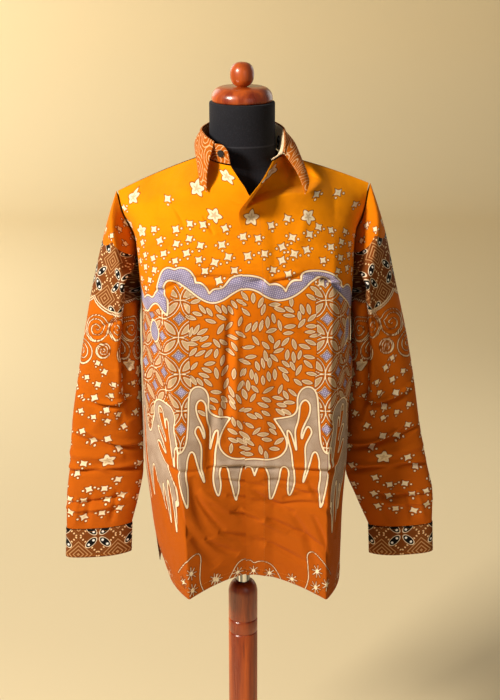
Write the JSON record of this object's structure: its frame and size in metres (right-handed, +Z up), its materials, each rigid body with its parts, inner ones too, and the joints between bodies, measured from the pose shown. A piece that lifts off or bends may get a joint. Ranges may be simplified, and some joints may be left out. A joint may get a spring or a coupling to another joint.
{
  "type": "batik shirt on dress form",
  "caption": "Long-sleeved batik shirt with concealed placket, pointed collar and side vents, worn on a limbless jersey dress form with a turned wooden cap, column and round base.",
  "frame": {"origin": "centre of the wooden base's underside", "axes": "+Z up along the stand, -Y to the front of the shirt, +X to the wearer's left"},
  "size_m": [0.6754, 0.38, 1.5742],
  "materials": {
    "batik_body": "saffron orange cotton with a wax-resist print of cream stars, grains and grey scalloped bands",
    "batik_fly": "orange cotton",
    "batik_sleeve": "orange cotton with cream stars, spirals and fine brown hatching",
    "batik_cuff": "interfaced cotton, brown hatching with black dotted petals",
    "batik_stand": "interfaced cotton, cream, black and orange print",
    "batik_leaf": "interfaced cotton, orange with fine cream loops",
    "button": "glossy black",
    "jersey": "charcoal cotton jersey stretched over the form",
    "varnished_wood": "turned wood, red-brown gloss varnish",
    "chromed_tube": "polished chrome"
  },
  "bodies": {
    "root": {"front_right": "batik_body", "front_left": "batik_body", "fly_left": "batik_fly", "back": "batik_body", "sleeve_right": "batik_sleeve", "sleeve_left": "batik_sleeve", "cuff_right": "batik_cuff", "cuff_left": "batik_cuff", "collar_stand": "batik_stand", "collar_leaf": "batik_leaf", "collar_button": "button", "cuff_button_right": "button", "cuff_button_left": "button", "form_torso": "jersey", "neck_cap": "varnished_wood", "finial": "varnished_wood", "post": "chromed_tube", "column": "varnished_wood", "base": "varnished_wood"}
  },
  "joints": []
}
